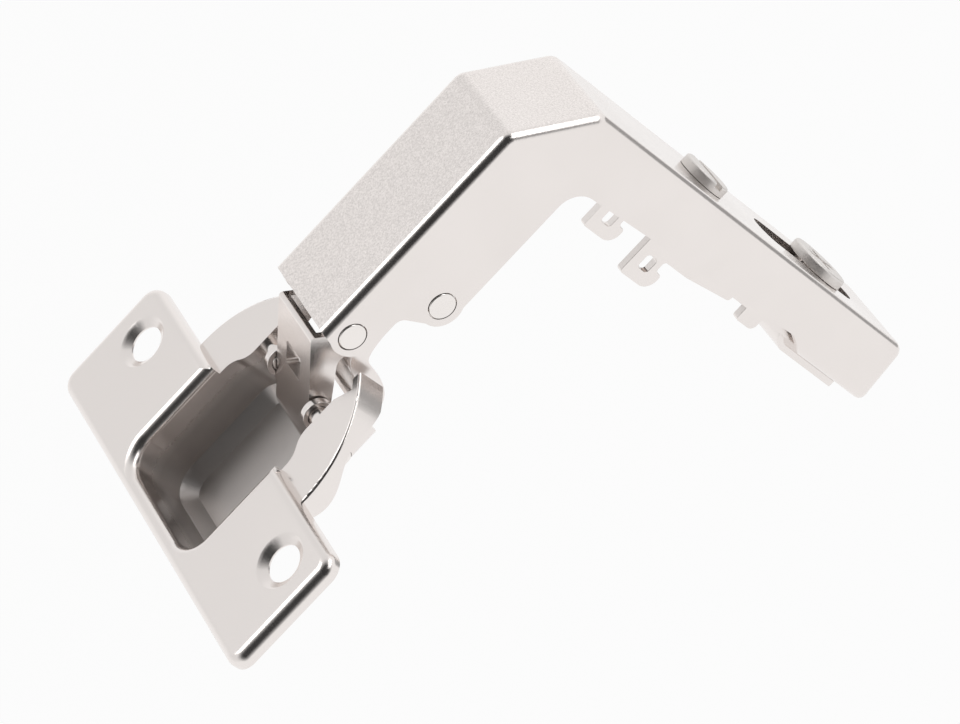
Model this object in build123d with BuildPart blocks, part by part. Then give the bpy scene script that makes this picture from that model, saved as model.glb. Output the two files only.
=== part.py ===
import os
from build123d import *

os.makedirs("parts", exist_ok=True)

# Concealed cup hinge with a square-cornered arm, shown open.
# X runs out of the cup along the arm, Y along the hinge pins, Z out of the door face.
# The origin lies midway between the two flange screw holes, on the door face.

# Cup and flange
sheet = 1.1
hole_spacing = 48.0
hole_dia = 5.0
sink_dia = 7.4
sink_angle = 109
flange_length = 62.0
flange_back = -12.8
flange_front = 5.8
flange_height = 2.2
flange_corner = 2.4
flange_bend = 1.5
cup_dia = 35.0
cup_offset = 6.0
ear_top = 0.2
ear_bend = 0.35
ear_flare = 1.6
ear_flare_length = 3.4
skirt_depth = 4.5
skirt_back = (4.0, -2.4)
skirt_belly = (9.7, -2.8)
skirt_waist = (13.3, -1.6)
skirt_lobe = (18.9, -4.2)
skirt_front = (24.0, -4.0)
pocket_back = -10.4
pocket_width = 21.2
pocket_rim = 1.5
mouth_draw = 1.9
mouth_bend_start = 6.6
mouth_bend_end = 11.4
cheek_front = 16.4
cheek_corner = 3.0
cup_depth = 9.8
floor_slope = 2.4
pocket_corner = 5.0
floor_end = 7.8

# Pivot places, open pose
inner_cup_pivot = (11.0, -6.3)
outer_cup_pivot = (13.0, -1.8)
front_arm_pivot = (24.1, 4.3)
rear_arm_pivot = (33.7, -2.9)
pin_dia = 2.8
rear_pin_dia = 2.4
running_clearance = 0.05
side_clearance = 0.3
loop_slack = 0.9

# Arm
arm_width = 16.0
arm_sheet = 1.1
arm_bend = 1.3
arm_front = 22.3
arm_top = 8.0
arm_back = 64.6
arm_chamfer = 9.1
arm_end = -68.6
arm_end_slant = 1.1
arm_end_round = 1.6
arm_foot_round = 1.0
front_depth = 13.6
rear_depth = 9.2
waist_cut = 1.8
waist_place = -50.4
foot_place = -54.4
front_lobe_radius = 3.6
front_lobe_shift = 0.8
valley_shift = 5.2
rear_lobe_radius = 3.0
elbow_radius = 3.2
valley_radius = 1.4
fold_radius = 2.0
rivet_head_dia = 3.9
rivet_proud = 0.12

# Inner link
inner_web_low = 2.2
inner_web_high = 4.2
inner_web_start = 3.0
inner_web_end = 15.4
waist_low = 3.9
waist_high = 12.2
waist_rise = 0.2
waist_round = 1.6
inner_eye_low = 2.7
inner_eye_high = 2.3
inner_width = 10.6
window_width = 4.6
window_length = 3.4
window_place = 8.5

# Outer link
outer_band = 2.5
outer_eye_low = 2.1
outer_eye_high = 3.0
belly_shift = 5.2
belly_drop = 5.1
belly_in = (-2.9, 1.4)
belly_out = (1.9, 2.2)
belly_web_from = 0.2
belly_web_to = 0.41
belly_web_points = 6
belly_web_inset = 0.2
neck_drop = 3.7
neck_shift = 2.6
neck_start = 1.2
neck_end = 4.7

# Clip channel, its screws and its lever
channel_sheet = 1.1
channel_gap = 0.3
channel_front = -17.6
channel_end = -57.6
channel_depth = 7.2
channel_side_gap = 0.9
hook_front = -22.2
hook_length = 5.8
hook_drop = 6.0
hook_round = 1.9
throat_drop = 3.3
throat_depth = 1.2
throat_height = 1.7
rail_flat = -31.4
rail_end = -39.6
rail_rise = 0.9
hook_window_inset = 11.7
hook_window_place = -24.8
hook_window_height = 2.2
hook_window_length = 1.9
tab_place = -44.5
tab_length = 3.6
tab_drop = 2.0
corner_round = 0.5
side_screw_place = -27.0
side_screw_head = 7.0
depth_screw_place = -52.3
depth_screw_head = 8.6
screw_head_height = 1.4
screw_thread_dia = 4.0
screw_reach = 0.8
slot_width = 1.2
recess_share = 0.62
depth_travel = 2.0
depth_slot_front = -39.5
depth_slot_back = -60.0
depth_slot_width = 5.6
lever_pin_dia = 2.0
lever_pivot_inset = 6.2
lever_pivot_place = -41.0
lever_sheet = 1.0
lever_shoulder = 2.8
lever_run = 8.5
lever_bend = 4.8
lever_kick = 3.9
lever_tip = 11.0
lever_width = 9.0
lever_eye_width = 4.0
spring_wire = 0.5
spring_turns = 3
wire_sides = 6
leaf_sheet = 0.7
leaf_front = 35.2
leaf_back = 52.0
leaf_drop = 5.0
leaf_lean = 0.3

# Longer than any wall that a cut goes through
cut_reach = 90.0

# Sizes that follow from the ones above
hole_radius = hole_dia / 2
sink_radius = sink_dia / 2
cup_radius = cup_dia / 2
pin_radius = pin_dia / 2
pin_hole = pin_radius + running_clearance
rear_pin_hole = rear_pin_dia / 2 + running_clearance + loop_slack
flange_mid = (flange_back + flange_front) / 2
flange_width = flange_front - flange_back
pocket_half = pocket_width / 2
mouth_half = pocket_half - mouth_draw
cheek_outer = mouth_half + sheet
floor_bottom = -cup_depth
floor_top = floor_bottom + sheet
inner_slope = floor_slope - sheet * (2 - 2 ** 0.5)
arm_half = arm_width / 2
arm_inner = arm_half - arm_sheet
waist_depth = rear_depth - waist_cut
outer_half = arm_inner - side_clearance
outer_plate = sheet - running_clearance
outer_inside = outer_half - outer_plate
inner_half = inner_width / 2
arm_under = arm_top - arm_sheet
rear_under = arm_back - arm_sheet
channel_half = arm_inner - channel_side_gap
channel_top = rear_under - channel_gap
channel_low = channel_top - channel_depth
hook_window = (arm_back - hook_window_inset, hook_window_place)
lever_pivot = (arm_back - lever_pivot_inset, lever_pivot_place)


def pin_sketch(place, radius):
    with BuildSketch(Plane.XZ) as disc:
        with Locations(place):
            Circle(radius)
    return disc.sketch


def pocket_form(inset, bottom, top, corner, slope):
    # Straight sides that draw in to the narrower mouth, with a sloping foot round the floor
    with BuildSketch(Plane.XY.offset(bottom)) as plan:
        with BuildLine():
            wide = pocket_half + sheet - inset
            narrow = cheek_outer - inset
            back = pocket_back - sheet + inset
            Line((back, 0), (back, wide))
            Line((back, wide), (mouth_bend_start, wide))
            bend_middle = ((mouth_bend_start + mouth_bend_end) / 2, (wide + narrow) / 2)
            TangentArc((mouth_bend_start, wide), bend_middle, tangent=(1, 0))
            TangentArc((mouth_bend_end, narrow), bend_middle, tangent=(-1, 0))
            Line((mouth_bend_end, narrow), (cheek_front, narrow))
            Line((cheek_front, narrow), (cheek_front, 0))
            mirror(about=Plane.XZ)
        make_face()
    with BuildPart() as form:
        extrude(plan.sketch, amount=top - bottom)
        back_corners = form.edges().filter_by(Axis.Z).sort_by(Axis.X)[:2]
        fillet(back_corners, corner)
        foot = form.faces().sort_by(Axis.Z)[0].edges()
        chamfer(foot.filter_by(lambda edge: edge.center().X < cheek_front - sheet), slope)
    return form.part


def ear_form():
    # A shallow lid on the bore's circle, kept only in front of the flange and beside the mouth
    with BuildPart() as form:
        with BuildSketch(Plane.XY.offset(ear_top - skirt_depth)):
            with Locations((cup_offset, 0)):
                Circle(cup_radius)
        extrude(amount=skirt_depth)
        offset(amount=-sheet, openings=form.faces().sort_by(Axis.Z)[0])
        fillet(form.faces().sort_by(Axis.Z)[-1].edges(), ear_bend)
        with BuildSketch(Plane.XY.offset(ear_top - skirt_depth)):
            with Locations((flange_front - sheet - cut_reach / 2, 0)):
                Rectangle(cut_reach, cut_reach)
            with Locations((cup_offset + cup_radius, 0)):
                Rectangle(cup_dia, 2 * mouth_half)
        extrude(amount=cut_reach, mode=Mode.SUBTRACT)
        # The plate draws back from the mouth at its tips, and the skirt stands on alone
        with BuildSketch(Plane.XY.offset(ear_top - skirt_depth)):
            with BuildLine():
                Polyline(
                    (cheek_front, 0),
                    (cheek_front, mouth_half),
                    (cheek_front + ear_flare_length, mouth_half + ear_flare),
                    (cheek_front + cup_dia, mouth_half + ear_flare),
                    (cheek_front + cup_dia, 0),
                    close=True,
                )
            make_face()
            mirror(about=Plane.XZ)
            with Locations((cup_offset, 0)):
                Circle(cup_radius - sheet, mode=Mode.INTERSECT)
        extrude(amount=cut_reach, mode=Mode.SUBTRACT)
        # Lower edge of the skirt: shallow beside the flange, deep at the tips
        with BuildSketch(Plane.XZ):
            with BuildLine():
                Spline(skirt_back, skirt_belly, skirt_waist, skirt_lobe, skirt_front)
                Line(skirt_front, (skirt_front[0], -cut_reach))
                Line((skirt_front[0], -cut_reach), (skirt_back[0], -cut_reach))
                Line((skirt_back[0], -cut_reach), skirt_back)
            make_face()
        extrude(amount=cut_reach, both=True, mode=Mode.SUBTRACT)
    return form.part


def pocket_hollow():
    # Inside of the pocket, opening out over a rolled rim under the flange's top
    with BuildPart() as form:
        add(pocket_form(sheet, floor_top, flange_height, pocket_corner - sheet, inner_slope))
        with BuildSketch(Plane.XY.offset(flange_height)):
            with Locations((cheek_front - cut_reach / 2, 0)):
                Rectangle(cut_reach, cut_reach)
        extrude(amount=sheet)
        at_top = form.edges().filter_by(lambda edge: abs(edge.center().Z - flange_height) < sheet / 4)
        rim = at_top.filter_by(lambda edge: pocket_back - sheet < edge.center().X < cheek_front - sheet)
        fillet(rim, pocket_rim)
    return form.part


# Cup: one drawn sheet with a tray-like flange, a deep pocket and two ears on the bore's rim
with BuildPart() as cup:
    with BuildSketch(Plane.XY):
        with Locations((flange_mid, 0)):
            RectangleRounded(flange_width, flange_length, flange_corner)
    extrude(amount=flange_height)
    fillet(cup.faces().sort_by(Axis.Z)[-1].edges(), flange_bend)
    offset(amount=-sheet, openings=cup.faces().sort_by(Axis.Z)[0])
    # Pocket, up to the flange behind and to the ears in front
    add(pocket_form(0, floor_bottom, flange_height - sheet / 2, pocket_corner, floor_slope))
    with BuildSketch(Plane.XY.offset(ear_top)):
        with Locations((flange_front + cut_reach / 2, 0)):
            Rectangle(cut_reach, cut_reach)
    extrude(amount=cut_reach, mode=Mode.SUBTRACT)
    # Ears: flat crescents inside the bore's circle, with a skirt turned down along it
    add(ear_form())
    # Hollow of the pocket, open at the mouth
    add(pocket_hollow(), mode=Mode.SUBTRACT)
    with BuildSketch(Plane.XY.offset(floor_bottom)):
        with Locations((floor_end + cut_reach / 2, 0)):
            Rectangle(cut_reach, 2 * mouth_half)
    extrude(amount=cut_reach, mode=Mode.SUBTRACT)
    # Rounded lower corners of the cheeks
    with BuildSketch(Plane.XZ):
        with Locations((cheek_front, floor_bottom)):
            Rectangle(2 * cheek_corner, 2 * cheek_corner)
        with Locations((cheek_front - cheek_corner, floor_bottom + cheek_corner)):
            Circle(cheek_corner, mode=Mode.SUBTRACT)
    extrude(amount=cut_reach, both=True, mode=Mode.SUBTRACT)
    # Screw holes and pin holes
    with Locations((0, hole_spacing / 2, flange_height), (0, -hole_spacing / 2, flange_height)):
        CounterSinkHole(hole_radius, sink_radius, flange_height, sink_angle)
    for place in (inner_cup_pivot, outer_cup_pivot):
        extrude(pin_sketch(place, pin_radius), amount=pocket_half + sheet, both=True, mode=Mode.SUBTRACT)
cup.part.label = "cup"
export_step(cup.part, "parts/cup.step")

# Pins of the cup: one right across for the inner link, a stud each side for the outer link
with BuildPart() as inner_link_pin:
    extrude(pin_sketch(inner_cup_pivot, pin_radius), amount=cheek_outer + rivet_proud, both=True)
inner_link_pin.part.label = "inner_link_pin"
export_step(inner_link_pin.part, "parts/inner_link_pin.step")

stud_reach = cheek_outer + rivet_proud
for side, side_name in ((-1, "near"), (1, "far")):
    with BuildPart() as stud:
        with BuildSketch(Plane.XZ.offset(-side * outer_inside)):
            with Locations(outer_cup_pivot):
                Circle(pin_radius)
        extrude(amount=-side * (stud_reach - outer_inside))
    stud.part.label = "outer_link_stud_" + side_name
    export_step(stud.part, "parts/outer_link_stud_" + side_name + ".step")

# Inner link: a folded channel with its web outwards and an eye at each end of its cheeks
link_run = front_arm_pivot[0] - inner_cup_pivot[0]
link_rise = front_arm_pivot[1] - inner_cup_pivot[1]
link_length = (link_run ** 2 + link_rise ** 2) ** 0.5
link_plane = Plane(
    origin=(inner_cup_pivot[0], 0, inner_cup_pivot[1]),
    x_dir=(link_run, 0, link_rise),
    z_dir=(0, -1, 0),
)
web_plane = Plane(origin=link_plane.origin, x_dir=link_plane.x_dir, z_dir=link_plane.y_dir)
web_slope = (inner_web_high - inner_web_low) / (inner_web_end - inner_web_start)
web_under = inner_web_low - sheet - web_slope * inner_web_start
with BuildPart() as inner_link:
    with BuildSketch(link_plane):
        Circle(inner_eye_low)
        with Locations(
            (inner_web_start + sheet / 2, inner_web_low - sheet / 2),
            (inner_web_end - sheet / 2, inner_web_high - sheet / 2),
        ):
            Circle(sheet / 2)
        with Locations((inner_web_end - inner_eye_high, 0)):
            Circle(inner_eye_high)
        make_hull()
    extrude(amount=inner_half, both=True)
    with BuildSketch(link_plane):
        with Locations((inner_web_end - inner_eye_high, 0), (link_length, 0)):
            Circle(inner_eye_high)
        make_hull()
    extrude(amount=inner_half, both=True)
    # Hollow edge of the cheeks between their eyes
    with BuildSketch(link_plane):
        with Locations(((waist_low + waist_high) / 2, waist_rise - link_length / 2)):
            RectangleRounded(waist_high - waist_low, link_length, waist_round)
    extrude(amount=inner_half, both=True, mode=Mode.SUBTRACT)
    # Room between the cheeks, under the sloping web
    with BuildSketch(link_plane):
        with BuildLine():
            Polyline(
                (-link_length, web_under - web_slope * link_length),
                (2 * link_length, web_under + 2 * web_slope * link_length),
                (2 * link_length, -link_length),
                (-link_length, -link_length),
                close=True,
            )
        make_face()
    extrude(amount=inner_half - sheet, both=True, mode=Mode.SUBTRACT)
    # Punched window in the web
    with BuildSketch(web_plane):
        with Locations((window_place, 0)):
            RectangleRounded(window_length, window_width, sheet / 2)
    extrude(amount=link_length, both=True, mode=Mode.SUBTRACT)
    with BuildSketch(link_plane):
        Circle(pin_hole)
        with Locations((link_length, 0)):
            Circle(pin_hole)
    extrude(amount=inner_half, both=True, mode=Mode.SUBTRACT)
inner_link.part.label = "inner_link"
export_step(inner_link.part, "parts/inner_link.step")

# Outer link: a gooseneck of two plates that dips under the inner link, joined by a web round the belly
belly_place = outer_cup_pivot[0] + belly_shift
belly_low = outer_cup_pivot[1] - belly_drop
with BuildLine() as spine:
    Spline(
        outer_cup_pivot,
        (belly_place + belly_in[0], belly_low + belly_in[1]),
        (belly_place, belly_low),
        (belly_place + belly_out[0], belly_low + belly_out[1]),
        (front_arm_pivot[0] - neck_shift, front_arm_pivot[1] - neck_drop - outer_band / 2),
        (front_arm_pivot[0] + neck_start, front_arm_pivot[1] - neck_drop),
        (rear_arm_pivot[0] - neck_end, front_arm_pivot[1] - neck_drop),
        rear_arm_pivot,
    )


def beside_spine(share, step):
    place = spine.line @ share
    heading = spine.line % share
    return (place.X + step * heading.Y, place.Y - step * heading.X)


belly_offset = (outer_band - sheet) / 2 - belly_web_inset
belly_step = (belly_web_to - belly_web_from) / (belly_web_points - 1)
belly_shares = [belly_web_from + belly_step * count for count in range(belly_web_points)]
with BuildPart() as outer_link:
    with BuildSketch(Plane.XZ.offset(outer_inside)):
        trace(spine.line, line_width=outer_band)
        with Locations(outer_cup_pivot):
            Circle(outer_eye_low)
            Circle(pin_hole, mode=Mode.SUBTRACT)
        with Locations(rear_arm_pivot):
            Circle(outer_eye_high)
            Circle(rear_pin_hole, mode=Mode.SUBTRACT)
    extrude(amount=outer_plate)
    mirror(about=Plane.XZ)
    with BuildSketch(Plane.XZ):
        with BuildLine():
            Spline(*[beside_spine(share, belly_offset) for share in belly_shares])
        trace(line_width=sheet)
    extrude(amount=outer_inside + outer_plate / 2, both=True)
outer_link.part.label = "outer_link"
export_step(outer_link.part, "parts/outer_link.step")

# Arm: a folded channel with a square corner cut off at 45 degrees
fold_sum = arm_back - arm_chamfer + arm_top
inner_sum = fold_sum - arm_sheet * 2 ** 0.5
inner_corner = (arm_back - rear_depth, arm_top - front_depth)
valley = (front_arm_pivot[0] + valley_shift, front_arm_pivot[1] - front_lobe_radius)
front_lobe = (front_arm_pivot[0] + front_lobe_shift, front_arm_pivot[1])


def on_web(edge):
    middle = edge.center()
    near = arm_sheet / 2
    high = middle.Z > arm_top - near or middle.X > arm_back - near or middle.X + middle.Z > fold_sum - near
    return high and abs(middle.Y) > arm_half - near


with BuildPart() as arm:
    with BuildSketch(Plane.XZ):
        with BuildLine():
            Polyline(
                (arm_front, arm_top),
                (arm_back - arm_chamfer, arm_top),
                (arm_back, arm_top - arm_chamfer),
                (arm_back, arm_end + arm_end_slant),
                (arm_back - rear_depth, arm_end),
                (arm_back - rear_depth, foot_place),
                (arm_back - waist_depth, waist_place),
                inner_corner,
                (rear_arm_pivot[0], inner_corner[1]),
                (rear_arm_pivot[0] - rear_lobe_radius, rear_arm_pivot[1]),
                valley,
                (front_lobe[0], valley[1]),
                (front_lobe[0] - front_lobe_radius, front_arm_pivot[1]),
                close=True,
            )
        make_face()
        with Locations(front_lobe):
            Circle(front_lobe_radius)
        with Locations(rear_arm_pivot):
            Circle(rear_lobe_radius)
    extrude(amount=arm_half, both=True)
    cross_edges = arm.edges().filter_by(Axis.Y)
    fillet(cross_edges.sort_by_distance((arm_back - arm_chamfer, 0, arm_top))[:1], fold_radius)
    cross_edges = arm.edges().filter_by(Axis.Y)
    fillet(cross_edges.sort_by_distance((arm_back, 0, arm_top - arm_chamfer))[:1], fold_radius)
    for place, radius in (
        ((inner_corner[0], 0, inner_corner[1]), elbow_radius),
        ((valley[0], 0, valley[1]), valley_radius),
        ((arm_back - waist_depth, 0, waist_place), valley_radius),
        ((arm_back, 0, arm_end + arm_end_slant), arm_end_round),
        ((arm_back - rear_depth, 0, arm_end), arm_foot_round),
    ):
        cross_edges = arm.edges().filter_by(Axis.Y)
        fillet(cross_edges.sort_by_distance(place)[:1], radius)
    fillet(arm.edges().filter_by(on_web), arm_bend)
    # Room between the side plates, under the web
    with BuildSketch(Plane.XZ):
        with BuildLine():
            Polyline(
                (0, arm_under),
                (inner_sum - arm_under, arm_under),
                (rear_under, inner_sum - rear_under),
                (rear_under, 2 * arm_end),
                (0, 2 * arm_end),
                close=True,
            )
        make_face()
    extrude(amount=arm_inner, both=True, mode=Mode.SUBTRACT)
    # Rivet holes in the side plates
    with BuildSketch(Plane.XZ):
        with Locations(front_arm_pivot, rear_arm_pivot):
            Circle(rivet_head_dia / 2)
    extrude(amount=cut_reach, both=True, mode=Mode.SUBTRACT)
    # Tapped hole of the side screw and slot of the depth screw, through the rear web
    with BuildSketch(Plane.YZ.offset(rear_under - arm_sheet)):
        with Locations((0, side_screw_place)):
            Circle(screw_thread_dia / 2 + running_clearance)
        with Locations((0, (depth_slot_front + depth_slot_back) / 2)):
            SlotOverall(depth_slot_front - depth_slot_back, depth_slot_width, 90)
    extrude(amount=3 * arm_sheet, mode=Mode.SUBTRACT)
arm.part.label = "arm"
export_step(arm.part, "parts/arm.step")

# Rivets of the arm, with flush heads in the side plates
for rivet_name, place, shank_dia in (
    ("front_rivet", front_arm_pivot, pin_dia),
    ("rear_rivet", rear_arm_pivot, rear_pin_dia),
):
    with BuildPart() as rivet:
        extrude(pin_sketch(place, shank_dia / 2), amount=arm_inner + arm_sheet / 2, both=True)
        with BuildSketch(Plane.XZ.offset(arm_inner)):
            with Locations(place):
                Circle(rivet_head_dia / 2)
        extrude(amount=arm_sheet + rivet_proud)
        mirror(about=Plane.XZ)
    rivet.part.label = rivet_name
    export_step(rivet.part, "parts/" + rivet_name + ".step")

# Closing spring: a leaf under the front web whose free end bears down on the outer link's eye
leaf_mid = arm_under - leaf_sheet / 2
with BuildPart() as closing_spring:
    with BuildSketch(Plane.XZ):
        with BuildLine():
            Line((leaf_back, leaf_mid), (leaf_front + leaf_drop, leaf_mid))
            Spline(
                (leaf_front + leaf_drop, leaf_mid),
                (leaf_front, rear_arm_pivot[1] + outer_eye_high + side_clearance + leaf_sheet),
                tangents=((-1, 0), (-leaf_lean, -1)),
            )
        trace(line_width=leaf_sheet)
    extrude(amount=inner_half, both=True)
closing_spring.part.label = "closing_spring"
export_step(closing_spring.part, "parts/closing_spring.step")

# Clip channel: slides in the rear of the arm and hooks on to the mounting plate
hook_low = channel_low - hook_drop
hook_back = hook_front - hook_length
throat_low = channel_low - throat_drop
throat_top = throat_low + throat_height
throat_in = hook_back + throat_depth
tab_low = channel_low - tab_drop
tab_front = tab_place + tab_length / 2
tab_back = tab_place - tab_length / 2
with BuildPart() as base_channel:
    with BuildSketch(Plane.XZ):
        with BuildLine():
            Polyline(
                (channel_top, channel_front),
                (channel_top, channel_end),
                (channel_low, channel_end),
                (channel_low, tab_back),
                (tab_low, tab_back),
                (tab_low, tab_front),
                (channel_low, tab_front),
                (channel_low, rail_end),
                (throat_top + rail_rise, rail_end),
                (throat_top, rail_flat),
                (throat_top, throat_in),
                (throat_low, throat_in),
                (throat_low, hook_back),
                (hook_low, hook_back),
                (hook_low, hook_front),
                (channel_low, hook_front),
                (channel_low, channel_front),
                close=True,
            )
        make_face()
    extrude(amount=channel_half, both=True)
    for place, radius in (
        ((hook_low, hook_back), hook_round),
        ((hook_low, hook_front), corner_round),
        ((throat_low, hook_back), corner_round),
        ((throat_low, throat_in), corner_round),
        ((throat_top, throat_in), corner_round),
        ((throat_top + rail_rise, rail_end), corner_round),
        ((tab_low, tab_front), corner_round),
        ((tab_low, tab_back), 2 * corner_round),
        ((channel_low, channel_front), corner_round),
    ):
        cross_edges = base_channel.edges().filter_by(Axis.Y)
        fillet(cross_edges.sort_by_distance((place[0], 0, place[1]))[:1], radius)
    with BuildSketch(Plane.XZ):
        with Locations((channel_top - channel_sheet - cut_reach / 2, (channel_front + channel_end) / 2)):
            Rectangle(cut_reach, cut_reach)
    extrude(amount=channel_half - channel_sheet, both=True, mode=Mode.SUBTRACT)
    # Windows in the hooks and the holes of the lever pin
    with BuildSketch(Plane.XZ):
        with Locations(hook_window):
            RectangleRounded(hook_window_height, hook_window_length, corner_round)
        with Locations(lever_pivot):
            Circle(lever_pin_dia / 2)
    extrude(amount=cut_reach, both=True, mode=Mode.SUBTRACT)
    # Tapped hole of the depth screw, and a slot that clears the side screw's tip
    with BuildSketch(Plane.YZ.offset(channel_top - 2 * channel_sheet)):
        with Locations((0, depth_screw_place)):
            Circle(screw_thread_dia / 2 + running_clearance)
        with Locations((0, side_screw_place)):
            SlotCenterToCenter(2 * depth_travel + side_clearance, screw_thread_dia + side_clearance, 90)
    extrude(amount=3 * channel_sheet, mode=Mode.SUBTRACT)
base_channel.part.label = "base_channel"
export_step(base_channel.part, "parts/base_channel.step")

# Adjusting screws: cheese heads outside the web, one slotted and one with a cross recess
head_seat = arm_back + running_clearance
screw_tip = channel_top - channel_sheet - screw_reach
for screw_name, place, head_dia, slot_length, slot_turns in (
    ("side_adjust_screw", side_screw_place, side_screw_head, 2 * side_screw_head, (0,)),
    ("depth_adjust_screw", depth_screw_place, depth_screw_head, recess_share * depth_screw_head, (0, 90)),
):
    with BuildPart() as screw:
        with BuildSketch(Plane.YZ.offset(head_seat)):
            with Locations((0, place)):
                Circle(head_dia / 2)
        extrude(amount=screw_head_height)
        fillet(screw.edges().sort_by(Axis.X)[-1], screw_head_height / 4)
        with BuildSketch(Plane.YZ.offset(screw_tip)):
            with Locations((0, place)):
                Circle(screw_thread_dia / 2)
        extrude(amount=head_seat - screw_tip)
        with BuildSketch(Plane.YZ.offset(head_seat + screw_head_height / 2)):
            for turn in slot_turns:
                with Locations((0, place)):
                    Rectangle(slot_length, slot_width, rotation=turn)
        extrude(amount=screw_head_height, mode=Mode.SUBTRACT)
    screw.part.label = screw_name
    export_step(screw.part, "parts/" + screw_name + ".step")

# Clip lever: an eye on its pin, and a blade that bends out to the finger tip
shoulder = (lever_pivot[0], lever_pivot[1] - lever_shoulder)
bend_top = (lever_pivot[0], lever_pivot[1] - lever_run)
bend_low = (lever_pivot[0] - lever_kick, bend_top[1] - lever_bend)
with BuildPart() as clip_lever:
    with BuildSketch(Plane.XZ):
        with BuildLine():
            Line(shoulder, bend_top)
            Spline(bend_top, bend_low, tangents=((0, -1), (0, -1)))
            Line(bend_low, (bend_low[0], bend_low[1] - lever_tip))
        trace(line_width=lever_sheet)
    extrude(amount=lever_width / 2, both=True)
    with BuildSketch(Plane.XZ):
        with BuildLine():
            Line(lever_pivot, bend_top)
        trace(line_width=lever_sheet)
    extrude(amount=lever_eye_width / 2, both=True)
    extrude(pin_sketch(lever_pivot, lever_pin_dia), amount=lever_eye_width / 2, both=True)
    lever_hole = pin_sketch(lever_pivot, lever_pin_dia / 2 + running_clearance)
    extrude(lever_hole, amount=cut_reach, both=True, mode=Mode.SUBTRACT)
clip_lever.part.label = "clip_lever"
export_step(clip_lever.part, "parts/clip_lever.step")

with BuildPart() as clip_lever_pin:
    extrude(pin_sketch(lever_pivot, lever_pin_dia / 2), amount=channel_half, both=True)
clip_lever_pin.part.label = "clip_lever_pin"
export_step(clip_lever_pin.part, "parts/clip_lever_pin.step")

# Coil spring of the lever, round the pin beside the eye
coil_radius = lever_pin_dia / 2 + side_clearance + spring_wire / 2
coil_pitch = spring_wire + 2 * running_clearance
coil_start = lever_eye_width / 2 + side_clearance + spring_wire / 2
coil_place = (lever_pivot[0], coil_start, lever_pivot[1])
with BuildPart() as clip_spring:
    with BuildLine() as coil:
        Helix(coil_pitch, spring_turns * coil_pitch, coil_radius, coil_place, (0, 1, 0))
    with BuildSketch(Plane(origin=coil.line @ 0, z_dir=coil.line % 0)):
        RegularPolygon(spring_wire / 2, wire_sides)
    sweep()
clip_spring.part.label = "clip_spring"
export_step(clip_spring.part, "parts/clip_spring.step")
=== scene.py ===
import math
import bmesh
import bpy
import numpy as np
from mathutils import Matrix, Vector


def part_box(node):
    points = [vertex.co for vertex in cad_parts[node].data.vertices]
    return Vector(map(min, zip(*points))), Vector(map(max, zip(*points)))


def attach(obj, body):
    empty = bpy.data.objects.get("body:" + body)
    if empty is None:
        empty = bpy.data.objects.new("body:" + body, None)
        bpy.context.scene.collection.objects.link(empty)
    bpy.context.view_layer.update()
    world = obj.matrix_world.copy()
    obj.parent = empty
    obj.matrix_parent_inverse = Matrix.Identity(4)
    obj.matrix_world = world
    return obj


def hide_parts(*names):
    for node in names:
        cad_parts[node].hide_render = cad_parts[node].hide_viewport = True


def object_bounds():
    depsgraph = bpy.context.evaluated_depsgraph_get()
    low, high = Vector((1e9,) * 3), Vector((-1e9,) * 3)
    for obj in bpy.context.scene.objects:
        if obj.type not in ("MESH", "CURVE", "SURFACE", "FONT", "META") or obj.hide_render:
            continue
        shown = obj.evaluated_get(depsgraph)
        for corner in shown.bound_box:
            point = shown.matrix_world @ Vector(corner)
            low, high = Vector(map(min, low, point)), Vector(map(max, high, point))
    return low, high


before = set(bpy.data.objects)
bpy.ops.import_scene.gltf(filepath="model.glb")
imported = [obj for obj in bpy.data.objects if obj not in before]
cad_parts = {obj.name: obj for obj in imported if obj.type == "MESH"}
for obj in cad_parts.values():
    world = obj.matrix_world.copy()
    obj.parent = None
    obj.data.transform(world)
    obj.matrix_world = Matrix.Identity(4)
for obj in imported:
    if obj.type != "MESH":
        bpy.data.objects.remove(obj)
cadBox = [list(map(float, corner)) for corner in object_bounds()]

scene = bpy.context.scene
scene.view_settings.view_transform = "Standard"


def grey(value):
    return (value, value, value, 1.0)


def addNode(tree, kind, x, y, **values):
    # each value goes to the node's own setting of that name, or else to its socket
    node = tree.nodes.new(kind)
    node.location = (x, y)
    for key, value in values.items():
        if hasattr(node, key):
            setattr(node, key, value)
        else:
            node.inputs[key].default_value = value
    return node


def mapRange(tree, x, y, before, after):
    # straight line from the range before to the range after, held level past its ends
    node = addNode(tree, "ShaderNodeMapRange", x, y)
    node.inputs["From Min"].default_value = before[0]
    node.inputs["From Max"].default_value = before[1]
    node.inputs["To Min"].default_value = after[0]
    node.inputs["To Max"].default_value = after[1]
    return node


def addDarken(tree, tone, shader):
    # sits between the tone and the shader, and multiplies by a shade as far as its factor says
    darken = addNode(tree, "ShaderNodeMix", -200, 300, data_type="RGBA", blend_type="MULTIPLY")
    tree.links.new(tone.outputs["Result"], darken.inputs["A"])
    tree.links.new(darken.outputs["Result"], shader.inputs["Base Color"])
    return darken


def speckleWebs(tree, finish, place, grain, darken):
    # speckles come from the grain, and fade out with the distance from the middle
    link = tree.links.new
    webEdge = (finish["webHalf"], finish["webHalf"] + finish["webFade"])
    speckleSpan = (finish["speckle"], 2.0 - finish["speckle"])
    split = addNode(tree, "ShaderNodeSeparateXYZ", -1050, -350)
    away = addNode(tree, "ShaderNodeMath", -850, -350, operation="ABSOLUTE")
    fade = mapRange(tree, -650, -350, webEdge, (1.0, finish["plateShare"]))
    speckle = mapRange(tree, -650, -600, finish["grainSpan"], speckleSpan)
    link(place.outputs["Object"], split.inputs["Vector"])
    link(split.outputs["Y"], away.inputs[0])
    link(away.outputs[0], fade.inputs["Value"])
    link(fade.outputs["Result"], darken.inputs["Factor"])
    link(grain.outputs["Fac"], speckle.inputs["Value"])
    link(speckle.outputs["Result"], darken.inputs["B"])


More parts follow.
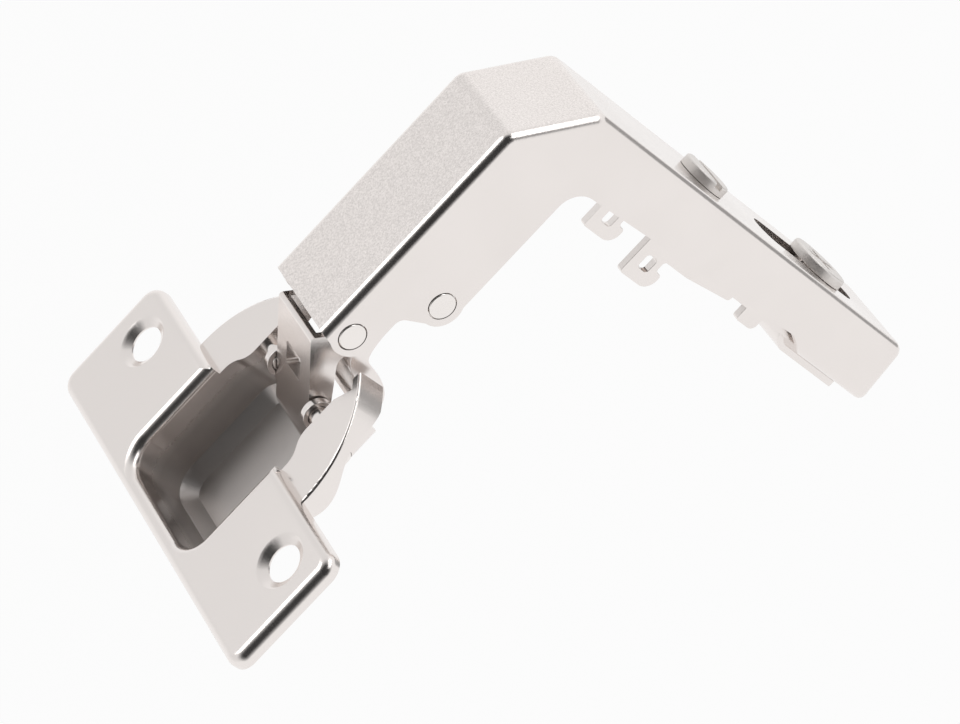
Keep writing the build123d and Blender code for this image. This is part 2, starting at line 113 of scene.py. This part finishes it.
def shadeAndDullHollow(tree, finish, place, rough, darken, shader):
    # painted shade: the tone falls with depth, and the roughness rises with depth, on faces that look
    # towards the hollow:
    # there (place - hollow) dotted with the normal is below zero
    link = tree.links.new
    split = addNode(tree, "ShaderNodeSeparateXYZ", -1050, -350)
    depth = mapRange(tree, -650, -600, (finish["shadeDullTo"], finish["shadeDullFrom"]), (1.0, 0.0))
    fromHollow = addNode(tree, "ShaderNodeVectorMath", -1050, -850, operation="SUBTRACT")
    fromHollow.inputs[1].default_value = finish["hollow"]
    outward = addNode(tree, "ShaderNodeVectorMath", -850, -850, operation="DOT_PRODUCT")
    within = mapRange(tree, -650, -850, (-finish["hollowFade"], 0.0), (1.0, 0.0))
    share = addNode(tree, "ShaderNodeMath", -450, -700, operation="MULTIPLY")
    rougher = addNode(tree, "ShaderNodeMath", -250, -50, operation="MULTIPLY_ADD")
    rougher.inputs[1].default_value = finish["dullRough"]
    darken.inputs["B"].default_value = grey(finish["hollowPaintedShade"])
    link(place.outputs["Object"], split.inputs["Vector"])
    link(split.outputs["Z"], depth.inputs["Value"])
    link(place.outputs["Object"], fromHollow.inputs[0])
    link(fromHollow.outputs["Vector"], outward.inputs[0])
    link(place.outputs["Normal"], outward.inputs[1])
    link(outward.outputs["Value"], within.inputs["Value"])
    link(depth.outputs["Result"], share.inputs[0])
    link(within.outputs["Result"], share.inputs[1])
    link(share.outputs[0], darken.inputs["Factor"])
    link(share.outputs[0], rougher.inputs[0])
    link(rough.outputs["Result"], rougher.inputs[2])
    link(rougher.outputs[0], shader.inputs["Roughness"])


plating = {
    "patchDetail": 3.0,
    "grainDetail": 2.0,
    "noiseSpan": (0.6, 1.4),   # usual span of the two noises added up
    "bump": 0.5,
}


def platedMetal(name, finish):
    # nickel plate: slow patches of tone, and a fine grain in the roughness and in the bump
    material = bpy.data.materials.new(name)
    material.use_nodes = True
    tree = material.node_tree
    link = tree.links.new
    shader = tree.nodes["Principled BSDF"]
    shader.inputs["Metallic"].default_value = 1.0
    place = addNode(tree, "ShaderNodeTexCoord", -1300, 0)
    patches = addNode(tree, "ShaderNodeTexNoise", -1050, 250, Scale=finish["wave"])
    patches.inputs["Detail"].default_value = plating["patchDetail"]
    grain = addNode(tree, "ShaderNodeTexNoise", -1050, -50, Scale=finish["grain"])
    grain.inputs["Detail"].default_value = plating["grainDetail"]
    link(place.outputs["Object"], patches.inputs["Vector"])
    link(place.outputs["Object"], grain.inputs["Vector"])
    tone = addNode(tree, "ShaderNodeMix", -450, 300, data_type="RGBA")
    tone.inputs["A"].default_value = (*finish["color"], 1.0)
    tone.inputs["B"].default_value = (*finish["shade"], 1.0)
    link(patches.outputs["Fac"], tone.inputs["Factor"])
    link(tone.outputs["Result"], shader.inputs["Base Color"])
    both = addNode(tree, "ShaderNodeMath", -750, 0, operation="ADD")
    link(patches.outputs["Fac"], both.inputs[0])
    link(grain.outputs["Fac"], both.inputs[1])
    rough = mapRange(tree, -450, 0, plating["noiseSpan"], finish["rough"])
    link(both.outputs[0], rough.inputs["Value"])
    link(rough.outputs["Result"], shader.inputs["Roughness"])
    bump = addNode(tree, "ShaderNodeBump", -250, -250, Strength=plating["bump"])
    bump.inputs["Distance"].default_value = finish["grainDepth"]
    link(grain.outputs["Fac"], bump.inputs["Height"])
    link(bump.outputs["Normal"], shader.inputs["Normal"])
    if "webHalf" in finish:
        speckleWebs(tree, finish, place, grain, addDarken(tree, tone, shader))
    # painted shade and added roughness in the cup's pocket
    if "hollowPaintedShade" in finish:
        shadeAndDullHollow(tree, finish, place, rough, addDarken(tree, tone, shader), shader)
    return material


sheetFinish = {
    "color": (0.86, 0.812, 0.787),
    "shade": (0.82, 0.772, 0.745),   # the patches' other tone
    "rough": (0.17, 0.27),
    "wave": 90.0,                    # patches per metre
    "grain": 4200.0,                 # grains per metre
    "grainDepth": 0.000005,
}
sheetNickel = platedMetal("sheetNickel", sheetFinish)
armFinish = {
    **sheetFinish,
    "grain": 4300.0,
    "grainDepth": 0.000010,
    "webHalf": 0.0068,               # the webs are speckled to this far from the middle
    "webFade": 0.0008,
    "plateShare": 0.1,               # what is left of the speckles on the side plates
    "speckle": 0.88,                 # darkest speckle as a share of the tone
    "grainSpan": (0.3, 0.7),         # usual span of the grain's noise
}
armNickel = platedMetal("armNickel", armFinish)
cupFinishAndShade = {
    **sheetFinish,
    "hollow": (0.0, 0.0, -0.003),    # the pocket's inside looks towards this point
    "hollowFade": 0.0008,            # full share where a face's plane is this far from the point
    "shadeDullFrom": -0.0012,             # the pocket gets painted shade and is rougher than the flange from this height down
    "shadeDullTo": -0.0032,
    # painted shade: the pocket's tone is multiplied by this
    "hollowPaintedShade": 0.71,
    "dullRough": 0.2,                # added roughness in the pocket
}
cupNickel = platedMetal("cupNickel", cupFinishAndShade)
pinFinish = {
    "color": (0.88, 0.838, 0.81),
    "shade": (0.84, 0.798, 0.77),
    "rough": (0.12, 0.22),
    "wave": 240.0,
    "grain": 5200.0,
    "grainDepth": 0.000004,
}
pinNickel = platedMetal("pinNickel", pinFinish)
screwFinish = {
    "color": (0.86, 0.826, 0.80),
    "shade": (0.78, 0.745, 0.72),
    "rough": (0.44, 0.56),
    "wave": 420.0,
    "grain": 2600.0,
    "grainDepth": 0.000012,
}
screwNickel = platedMetal("screwNickel", screwFinish)
springFinish = {
    "color": (0.72, 0.70, 0.68),
    "shade": (0.64, 0.62, 0.60),
    "rough": (0.22, 0.36),
    "wave": 160.0,
    "grain": 3000.0,
    "grainDepth": 0.000006,
}
springSteel = platedMetal("springSteel", springFinish)
print("finishes made")

forming = {
    "merge": 0.000002,              # points nearer than this become one
    "flat": math.radians(0.6),      # faces within this angle become one
    "smooth": math.radians(30),     # edges over this angle are sharp, and get the small rounds
    "roundSteps": 3,
    "weld": 0.000001,               # closes up faces that the rounds leave with no area
}


def placePiece(name, mesh, material, body, node=None):
    mesh.shade_smooth()
    mesh.set_sharp_from_angle(angle=forming["smooth"])
    mesh.materials.append(material)
    piece = bpy.data.objects.new(name, mesh)
    scene.collection.objects.link(piece)
    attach(piece, body)
    if node:
        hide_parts(node)
    return piece


def mergedForm(nodeName):
    # the CAD piece's own triangles, joined up and with flat stretches made single faces
    form = bmesh.new()
    form.from_mesh(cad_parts[nodeName].data)
    bmesh.ops.remove_doubles(form, verts=form.verts, dist=forming["merge"])
    bmesh.ops.dissolve_limit(form, angle_limit=forming["flat"], verts=form.verts, edges=form.edges)
    return form


def meshFrom(name, form):
    mesh = bpy.data.meshes.new(name)
    form.to_mesh(mesh)
    form.free()
    return mesh


def easeEdges(piece, width):
    # a small round on every sharp edge, with the flat faces still shaded flat
    ease = piece.modifiers.new("ease", "BEVEL")
    ease.width = width
    ease.segments = forming["roundSteps"]
    ease.limit_method = "ANGLE"
    ease.angle_limit = forming["smooth"]
    ease.use_clamp_overlap = True
    ease.harden_normals = True
    weld = piece.modifiers.new("weld", "WELD")
    weld.merge_threshold = forming["weld"]
    flat = piece.modifiers.new("flat", "WEIGHTED_NORMAL")
    flat.keep_sharp = True


def easedPiece(spec, material):
    mesh = meshFrom(spec["name"], mergedForm(spec["node"]))
    piece = placePiece(spec["name"], mesh, material, spec["body"], spec["node"])
    easeEdges(piece, spec["ease"])


armSheet = {
    "name": "armSheet",
    "node": "arm",
    "body": "arm_side",
    "slot": "plated_sheet",
    "ease": 0.0001,
}
easedPiece(armSheet, armNickel)
cupSheet = {
    "name": "cupSheet",
    "node": "cup",
    "body": "door_side",
    "slot": "plated_sheet",
    "ease": 0.00008,
}
easedPiece(cupSheet, cupNickel)
channelSheet = {
    "name": "channelSheet",
    "node": "base_channel",
    "body": "channel",
    "slot": "plated_sheet",
    "ease": 0.0001,
}
easedPiece(channelSheet, sheetNickel)
innerLinkSheet = {
    "name": "innerLinkSheet",
    "node": "inner_link",
    "body": "inner",
    "slot": "plated_sheet",
    "ease": 0.00012,
}
easedPiece(innerLinkSheet, sheetNickel)
outerLinkSheet = {
    "name": "outerLinkSheet",
    "node": "outer_link",
    "body": "outer",
    "slot": "plated_sheet",
    "ease": 0.0001,
}
easedPiece(outerLinkSheet, sheetNickel)
leverBlade = {
    "name": "leverBlade",
    "node": "clip_lever",
    "body": "lever",
    "slot": "spring_steel",
    "ease": 0.0001,
}
easedPiece(leverBlade, sheetNickel)
closingLeaf = {
    "name": "closingLeaf",
    "node": "closing_spring",
    "body": "arm_side",
    "slot": "spring_steel",
    "ease": 0.00006,
}
easedPiece(closingLeaf, springSteel)
print("pressed pieces eased")


def ringsMesh(name, rings):
    # rings[i, j] is point j round ring i: quads join each ring to the next, a flat face closes each end
    count, sides = rings.shape[:2]
    start = np.arange(count - 1)[:, None] * sides
    here = start + np.arange(sides)[None, :]
    onward = start + (np.arange(sides)[None, :] + 1) % sides
    quads = np.stack([here, onward, onward + sides, here + sides], axis=-1).reshape(-1, 4)
    last = (count - 1) * sides
    ends = [list(range(sides)), list(range(last, last + sides))]
    mesh = bpy.data.meshes.new(name)
    mesh.from_pydata(rings.reshape(-1, 3).tolist(), [], quads.tolist() + ends)
    form = bmesh.new()
    form.from_mesh(mesh)
    bmesh.ops.recalc_face_normals(form, faces=form.faces)
    form.to_mesh(mesh)
    form.free()
    return mesh


def turnedRings(along, radius, centre, sides):
    # ring i stands at along[i] on the pin's axis, with points at radius[i] round it
    turn = np.linspace(0, 2 * np.pi, sides, endpoint=False)
    x = centre[0] + radius[:, None] * np.cos(turn)
    z = centre[1] + radius[:, None] * np.sin(turn)
    y = np.broadcast_to(along[:, None], x.shape)
    return np.stack([x, y, z], axis=-1)


def roundedEnd(end, radius, soft, steps):
    # quarter circle from the end face to the wall: end + soft (1 - cos a), radius - soft (1 - sin a)
    angle = np.linspace(0, np.pi / 2, steps)
    along = end + soft * (1 - np.cos(angle))
    return along, radius - soft * (1 - np.sin(angle))


def pinCentre(low, high):
    # x and z of the middle of a box, since the pins lie along y
    return (low[0] + high[0]) / 2, (low[2] + high[2]) / 2


def turnedPin(spec):
    # a rounded end, a straight wall, and the same end turned about
    low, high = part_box(spec["node"])
    centre = pinCentre(low, high)
    radius = (high[0] - low[0]) / 2
    half = (high[1] - low[1]) / 2
    along, wall = roundedEnd(-half, radius, spec["soft"], spec["steps"])
    along = np.concatenate([along, -along[::-1]]) + (high[1] + low[1]) / 2
    wall = np.concatenate([wall, wall[::-1]])
    mesh = ringsMesh(spec["name"], turnedRings(along, wall, centre, spec["sides"]))
    placePiece(spec["name"], mesh, pinNickel, spec["body"], spec["node"])


innerPin = {
    "name": "innerPin",
    "node": "inner_link_pin",
    "body": "door_side",
    "soft": 0.0003,       # radius of the rounded ends
    "steps": 6,           # rings in each rounded end
    "sides": 48,
}
turnedPin(innerPin)
studNear = {
    "name": "studNear",
    "node": "outer_link_stud_near",
    "body": "door_side",
    "soft": 0.0003,
    "steps": 6,
    "sides": 48,
}
turnedPin(studNear)
studFar = {**studNear, "name": "studFar", "node": "outer_link_stud_far"}
turnedPin(studFar)
leverPin = {
    "name": "leverPin",
    "node": "clip_lever_pin",
    "body": "channel",
    "soft": 0.0002,
    "steps": 6,
    "sides": 40,
}
turnedPin(leverPin)


def turnedRivet(spec):
    # flat head with a soft edge and a fine gap round it, a narrower shank, and the same head again
    low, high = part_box(spec["node"])
    centre = pinCentre(low, high)
    head = (high[0] - low[0]) / 2 - spec["gap"]
    along, wall = roundedEnd(low[1], head, spec["soft"], spec["steps"])
    seat = low[1] + spec["headDepth"]
    along = np.concatenate([along, [seat, seat]])
    wall = np.concatenate([wall, [head, spec["shank"]]])
    along = np.concatenate([along, -along[::-1]])
    wall = np.concatenate([wall, wall[::-1]])
    mesh = ringsMesh(spec["name"], turnedRings(along, wall, centre, spec["sides"]))
    placePiece(spec["name"], mesh, pinNickel, "arm_side", spec["node"])


frontRivet = {
    "name": "frontRivet",
    "node": "front_rivet",
    "gap": 0.00013,
    "soft": 0.00018,
    "headDepth": 0.00122,
    "shank": 0.0014,      # radius between the heads
    "steps": 7,
    "sides": 72,
}
turnedRivet(frontRivet)
rearRivet = {**frontRivet, "name": "rearRivet", "node": "rear_rivet", "shank": 0.0012}
turnedRivet(rearRivet)
print("pins and rivets turned")


def threadedScrew(spec):
    # the head is the CAD piece's own, cut off at its seat and closed underneath
    low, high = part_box(spec["node"])
    seat = high[0] - spec["headHeight"]
    form = mergedForm(spec["node"])
    shankVerts = [vert for vert in form.verts if vert.co.x < seat - spec["seatGap"]]
    bmesh.ops.delete(form, geom=shankVerts, context="VERTS")
    bmesh.ops.holes_fill(form, edges=form.edges, sides=0)
    mesh = meshFrom(spec["name"], form)
    piece = placePiece(spec["name"], mesh, screwNickel, spec["body"], spec["node"])
    easeEdges(piece, spec["ease"])
    # thread: radius rises and falls once a pitch, and the wave moves on by one pitch a turn
    turn = np.linspace(0, 2 * np.pi, spec["sides"], endpoint=False)[None, :]
    along = np.linspace(low[0], seat, spec["rows"])[:, None]
    phase = ((along - low[0]) / spec["pitch"] - turn / (2 * np.pi)) % 1.0
    wave = 1 - np.abs(2 * phase - 1)
    radius = spec["root"] + (spec["crest"] - spec["root"]) * wave
    radius = np.minimum(radius, spec["root"] * spec["tip"] + (along - low[0]))   # chamfered tip
    y = (low[1] + high[1]) / 2 + radius * np.cos(turn)
    z = (low[2] + high[2]) / 2 + radius * np.sin(turn)
    x = np.broadcast_to(along, y.shape)
    thread = ringsMesh(spec["name"] + "Thread", np.stack([x, y, z], axis=-1))
    placePiece(spec["name"] + "Thread", thread, screwNickel, spec["body"])


sideScrew = {
    "name": "sideScrew",
    "node": "side_adjust_screw",
    "body": "side_screw",
    "headHeight": 0.0014,
    "seatGap": 0.00001,   # points this far below the seat belong to the shank
    "ease": 0.0001,
    "crest": 0.002,       # the thread's outer and inner radius
    "root": 0.00168,
    "pitch": 0.0007,
    "tip": 0.8,           # radius at the tip as a share of the root
    "sides": 48,
    "rows": 70,
}
threadedScrew(sideScrew)
depthScrew = {**sideScrew, "name": "depthScrew", "node": "depth_adjust_screw", "body": "depth_screw"}
threadedScrew(depthScrew)


def coiledWire(spec):
    # tube on a helix: the centre goes round at the coil's radius by turn a,
    # and the tube's points stand round it at the wire's radius by angle b, in the radial plane
    low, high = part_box(spec["node"])
    centre = pinCentre(low, high)
    wire = spec["wire"] / 2
    coil = (high[0] - low[0]) / 2 - wire
    share = np.linspace(0, 1, spec["rows"])[:, None]
    a = 2 * np.pi * spec["turns"] * share
    b = np.linspace(0, 2 * np.pi, spec["sides"], endpoint=False)[None, :]
    reach = coil + wire * np.cos(b)
    x = centre[0] + reach * np.cos(a)
    z = centre[1] + reach * np.sin(a)
    y = low[1] + wire + (high[1] - low[1] - spec["wire"]) * share + wire * np.sin(b)
    mesh = ringsMesh(spec["name"], np.stack([x, y, z], axis=-1))
    placePiece(spec["name"], mesh, springSteel, "channel", spec["node"])


leverSpring = {
    "name": "leverSpring",
    "node": "clip_spring",
    "wire": 0.0005,
    "turns": 3,
    "rows": 145,
    "sides": 14,
}
coiledWire(leverSpring)
print("screws threaded and spring coiled")

view = {
    "place": (0.12264584, -0.40307886, 0.34641831),
    "turn": (0.57031611, 0.66188785, -0.53522352),
    "lens": 163.3243,
    "sensor": 36.0,
    "near": 0.01,
}
cameraData = bpy.data.cameras.new("camera")
cameraData.lens = view["lens"]
cameraData.sensor_width = view["sensor"]
cameraData.sensor_fit = "HORIZONTAL"
cameraData.clip_start = view["near"]
camera = bpy.data.objects.new("camera", cameraData)
camera.location = view["place"]
camera.rotation_euler = view["turn"]
scene.collection.objects.link(camera)
scene.camera = camera


def fadeRamp(tree, x, y, edge, tone):
    # white to the first edge, then down to the tone at the second
    node = addNode(tree, "ShaderNodeValToRGB", x, y)
    start, end = node.color_ramp.elements
    start.position = edge[0]
    start.color = grey(1.0)
    end.position = edge[1]
    end.color = grey(tone)
    return node


room = {
    "darkSide": (0.170, -0.728, 0.664),   # way to the unlit part of the room
    "darkEdge": (0.45, 0.85),             # cosine to that way where the dark starts and where it is full
    "dark": 0.04,
    "ceilingEdge": (0.10, 0.55),          # a ray's z where the softer ceiling starts and where it is full
    "ceiling": 0.83,
}


def studioWorld():
    # bright all round, softer overhead and dark on one side, and plain white to the camera
    world = bpy.data.worlds.new("studio")
    scene.world = world
    world.use_nodes = True
    tree = world.node_tree
    link = tree.links.new
    back = tree.nodes["Background"]
    place = addNode(tree, "ShaderNodeTexCoord", -1000, 0)
    front = addNode(tree, "ShaderNodeVectorMath", -800, 0, operation="DOT_PRODUCT")
    front.inputs[1].default_value = room["darkSide"]
    side = fadeRamp(tree, -600, 0, room["darkEdge"], room["dark"])
    height = addNode(tree, "ShaderNodeSeparateXYZ", -800, -300)
    upper = fadeRamp(tree, -600, -300, room["ceilingEdge"], room["ceiling"])
    shade = addNode(tree, "ShaderNodeMix", -300, -100, data_type="RGBA", blend_type="MULTIPLY")
    shade.inputs["Factor"].default_value = 1.0
    rays = addNode(tree, "ShaderNodeLightPath", -300, 300)
    pick = addNode(tree, "ShaderNodeMix", -100, 100, data_type="RGBA")
    pick.inputs["B"].default_value = grey(1.0)
    link(place.outputs["Generated"], front.inputs[0])
    link(front.outputs["Value"], side.inputs["Fac"])
    link(place.outputs["Generated"], height.inputs["Vector"])
    link(height.outputs["Z"], upper.inputs["Fac"])
    link(side.outputs["Color"], shade.inputs["A"])
    link(upper.outputs["Color"], shade.inputs["B"])
    link(shade.outputs["Result"], pick.inputs["A"])
    link(rays.outputs["Is Camera Ray"], pick.inputs["Factor"])
    link(pick.outputs["Result"], back.inputs["Color"])


studioWorld()

ground = {
    "drop": 0.30,                 # below the part's lowest point
    "size": 6.0,
    "color": 0.9,
    "rough": 0.9,
    "glow": 0.93,                 # share of plain white in the floor as seen, the rest shows the shadow
    "cardPlace": (0.50, 0.06),    # middle of a dark round card, which shows in reflections alone
    "cardRadius": (0.18, 0.22),   # full and faded edge
    "cardTone": 0.36,
}
floorHalf = ground["size"] / 2
floorHeight = cadBox[0][2] - ground["drop"]
floorSigns = [(-1, -1), (1, -1), (1, 1), (-1, 1)]
floorCorners = [(x * floorHalf, y * floorHalf, floorHeight) for x, y in floorSigns]
floorMesh = bpy.data.meshes.new("floor")
floorMesh.from_pydata(floorCorners, [], [(0, 1, 2, 3)])
floor = bpy.data.objects.new("floor", floorMesh)
scene.collection.objects.link(floor)


def paleFloor():
    # white to the eye and, but for the card, in reflections, and a plain pale surface for all other light
    material = bpy.data.materials.new("paleFloor")
    material.use_nodes = True
    tree = material.node_tree
    link = tree.links.new
    shader = tree.nodes["Principled BSDF"]
    shader.inputs["Base Color"].default_value = grey(ground["color"])
    shader.inputs["Roughness"].default_value = ground["rough"]
    glow = addNode(tree, "ShaderNodeEmission", -200, 300)
    place = addNode(tree, "ShaderNodeTexCoord", -1200, 200)
    away = addNode(tree, "ShaderNodeVectorMath", -1000, 200, operation="DISTANCE")
    away.inputs[1].default_value = (*ground["cardPlace"], floorHeight)
    card = mapRange(tree, -800, 200, ground["cardRadius"], (ground["cardTone"], 1.0))
    rays = addNode(tree, "ShaderNodeLightPath", -800, 500)
    bright = addNode(tree, "ShaderNodeMath", -400, 250, operation="MAXIMUM")
    direct = addNode(tree, "ShaderNodeMath", -600, 500, operation="MULTIPLY")
    direct.inputs[1].default_value = ground["glow"]
    seen = addNode(tree, "ShaderNodeMath", -400, 500, operation="MAXIMUM")
    shown = addNode(tree, "ShaderNodeMath", -200, 500, operation="MAXIMUM")
    mix = addNode(tree, "ShaderNodeMixShader", 300, 300)
    link(place.outputs["Object"], away.inputs[0])
    link(away.outputs["Value"], card.inputs["Value"])
    link(rays.outputs["Is Camera Ray"], bright.inputs[0])
    link(card.outputs["Result"], bright.inputs[1])
    link(bright.outputs[0], glow.inputs["Strength"])
    link(rays.outputs["Is Camera Ray"], direct.inputs[0])
    link(direct.outputs[0], seen.inputs[0])
    link(rays.outputs["Is Glossy Ray"], seen.inputs[1])
    link(seen.outputs[0], shown.inputs[0])
    link(rays.outputs["Is Transmission Ray"], shown.inputs[1])
    link(shown.outputs[0], mix.inputs["Fac"])
    link(shader.outputs["BSDF"], mix.inputs[1])
    link(glow.outputs["Emission"], mix.inputs[2])
    link(mix.outputs["Shader"], tree.nodes["Material Output"].inputs["Surface"])
    return material


floorMesh.materials.append(paleFloor())


def softbox(spec):
    # a rectangular lamp, turned to its target
    data = bpy.data.lights.new(spec["name"], "AREA")
    data.shape = "RECTANGLE"
    data.size = spec["width"]
    data.size_y = spec["height"]
    data.energy = spec["power"]
    lamp = bpy.data.objects.new(spec["name"], data)
    lamp.location = spec["place"]
    aim = Vector(spec["target"]) - Vector(spec["place"])
    lamp.rotation_euler = aim.to_track_quat("-Z", "Y").to_euler()
    scene.collection.objects.link(lamp)


keyLight = {
    "name": "keyLight",
    "place": (-0.15, 0.26, 0.85),
    "target": (0.03, 0.0, -0.02),
    "width": 0.45,
    "height": 0.45,
    "power": 1.2,
}
softbox(keyLight)
foldLight = {
    "name": "foldLight",
    "place": (0.70, -0.29, 0.27),
    "target": (0.05, 0.0, 0.0),
    "width": 0.7,
    "height": 0.3,
    "power": 1.1,
}
softbox(foldLight)
print("camera, floor and light set")
